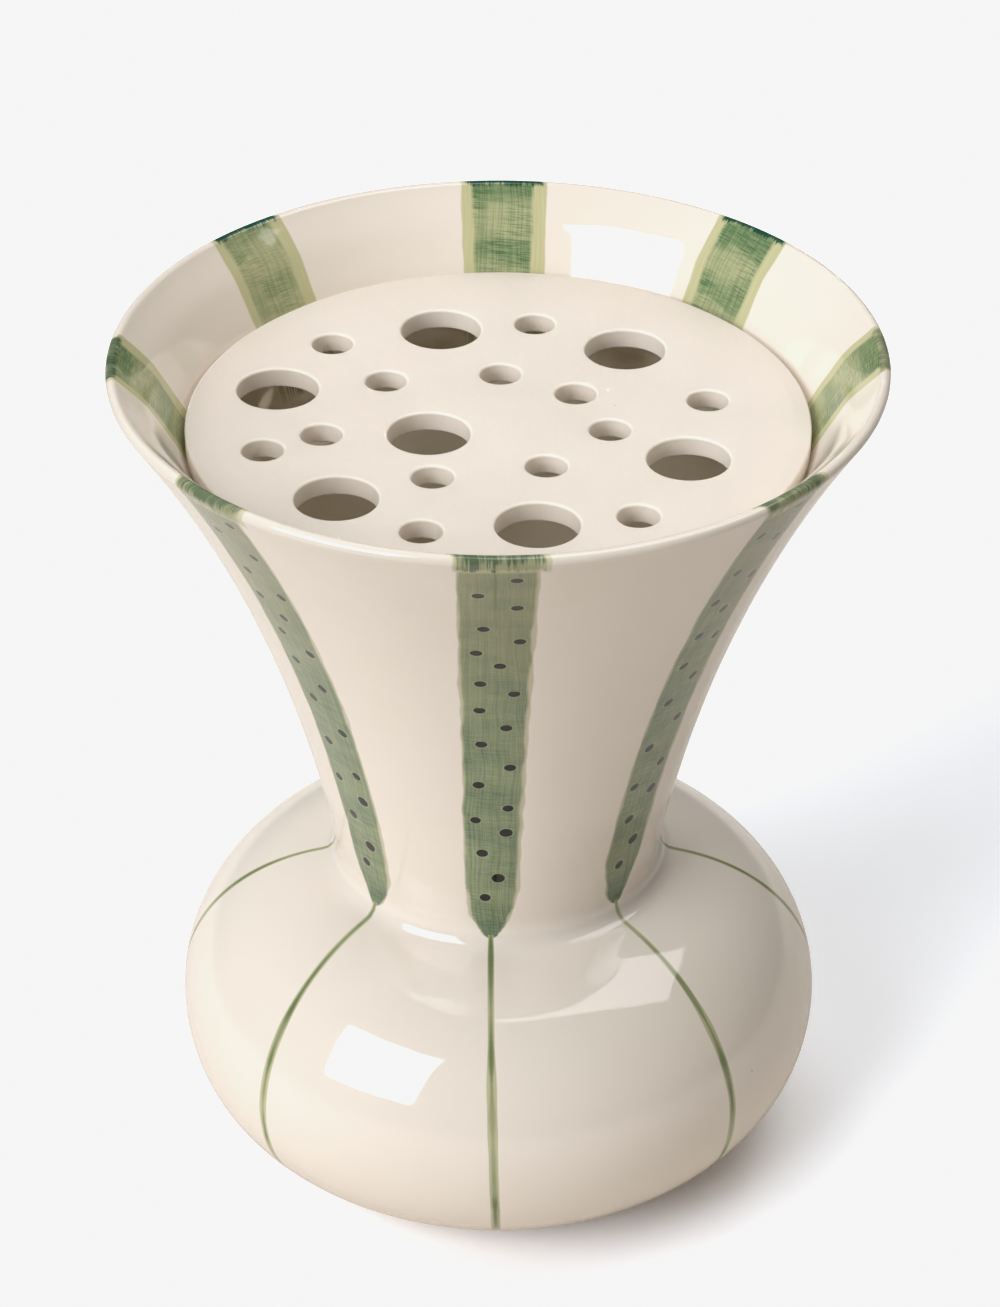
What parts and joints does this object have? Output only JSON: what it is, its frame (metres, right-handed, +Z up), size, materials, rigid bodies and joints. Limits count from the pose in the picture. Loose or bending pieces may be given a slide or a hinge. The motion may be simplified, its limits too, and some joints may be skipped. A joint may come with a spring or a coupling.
{
  "type": "flower frog vase",
  "caption": "Footed bulb vase with a flaring mouth and a loose pierced disc that seats inside the mouth and spaces flower stems.",
  "frame": {"origin": "on the ground at the centre of the vase's foot", "axes": "+Z up along the axis that the vase was turned on, -Y towards the front stripe"},
  "size_m": [0.1638, 0.1638, 0.1973],
  "materials": {
    "vase_glaze": "glossy cream glaze over hand-painted green stripes, dots and lip dabs",
    "frog_glaze": "satin cream glaze, unpainted"
  },
  "bodies": {
    "vase_body": {"vase": "vase_glaze"},
    "frog_body": {"flower_frog": "frog_glaze"}
  },
  "joints": [
    {"name": "frog_lift", "type": "slide", "parent": "vase_body", "child": "frog_body", "axis": [0, 0, 1], "range_m": [0, 0.06]}
  ]
}
